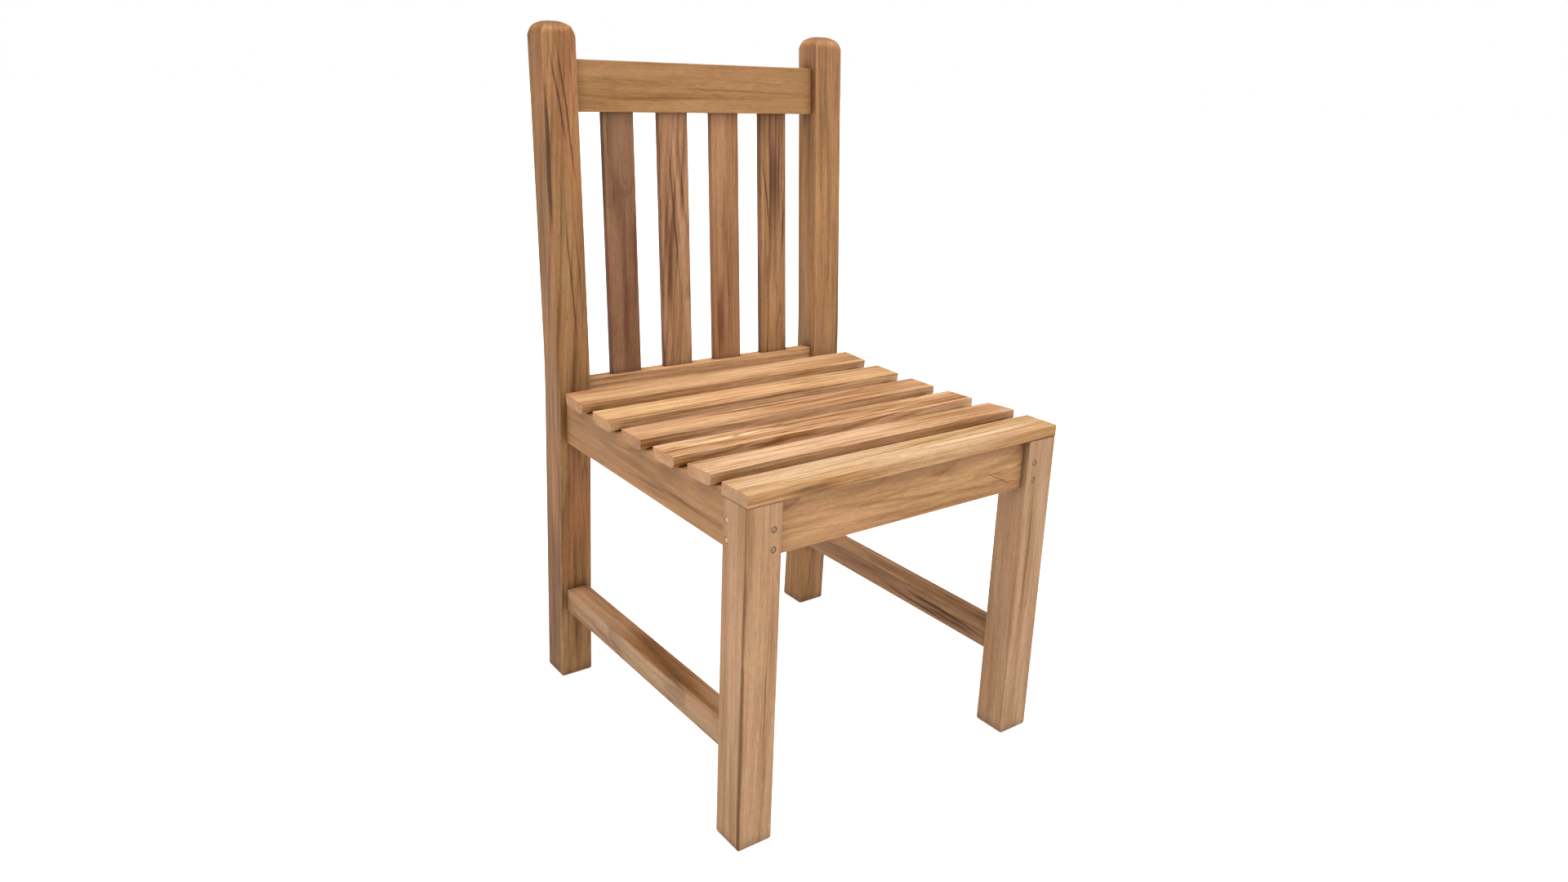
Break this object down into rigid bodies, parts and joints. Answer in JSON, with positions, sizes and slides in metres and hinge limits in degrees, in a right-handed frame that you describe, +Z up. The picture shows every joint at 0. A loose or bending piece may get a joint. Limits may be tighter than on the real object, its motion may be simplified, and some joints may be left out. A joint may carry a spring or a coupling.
{
  "type": "dining chair",
  "caption": "Armless dining chair of square hardwood legs, with a dished slatted seat, a raked back of upright slats and a stretcher at each side, pegged at the joints",
  "frame": {"origin": "on the floor, under the middle of the chair's outline", "axes": "+Z up, -Y to the front of the chair, +X to the right as seen by someone standing in front of it"},
  "size_m": [0.475, 0.5142, 0.9],
  "materials": {
    "seat_slat_wood": "sanded, unfinished",
    "frame_wood": "sanded, unfinished",
    "rail_wood": "sanded, unfinished",
    "back_slat_wood": "sanded, unfinished",
    "peg_end_grain": "cut flush",
    "zinc_screw": "zinc plated"
  },
  "bodies": {
    "root": {"back_post_left": "frame_wood", "front_leg_left": "frame_wood", "side_rail_left": "rail_wood", "side_stretcher_left": "rail_wood", "back_post_right": "frame_wood", "front_leg_right": "frame_wood", "side_rail_right": "rail_wood", "side_stretcher_right": "rail_wood", "front_rail": "rail_wood", "top_rail": "rail_wood", "lower_back_rail": "rail_wood", "back_slat_1": "back_slat_wood", "back_slat_2": "back_slat_wood", "back_slat_3": "back_slat_wood", "back_slat_4": "back_slat_wood", "seat_slat_1": "seat_slat_wood", "seat_slat_2": "seat_slat_wood", "seat_slat_3": "seat_slat_wood", "seat_slat_4": "seat_slat_wood", "seat_slat_5": "seat_slat_wood", "seat_slat_6": "seat_slat_wood", "front_peg_left_1": "peg_end_grain", "front_peg_left_2": "peg_end_grain", "front_peg_right_1": "peg_end_grain", "front_peg_right_2": "peg_end_grain", "side_peg_left_1": "peg_end_grain", "side_peg_left_2": "peg_end_grain", "side_peg_right_1": "peg_end_grain", "side_peg_right_2": "peg_end_grain", "seat_screw_left_1": "zinc_screw", "seat_screw_left_2": "zinc_screw", "seat_screw_left_3": "zinc_screw", "seat_screw_left_4": "zinc_screw", "seat_screw_left_5": "zinc_screw", "seat_screw_right_1": "zinc_screw", "seat_screw_right_2": "zinc_screw", "seat_screw_right_3": "zinc_screw", "seat_screw_right_4": "zinc_screw", "seat_screw_right_5": "zinc_screw", "front_screw_left": "zinc_screw", "front_screw_right": "zinc_screw"}
  },
  "joints": []
}
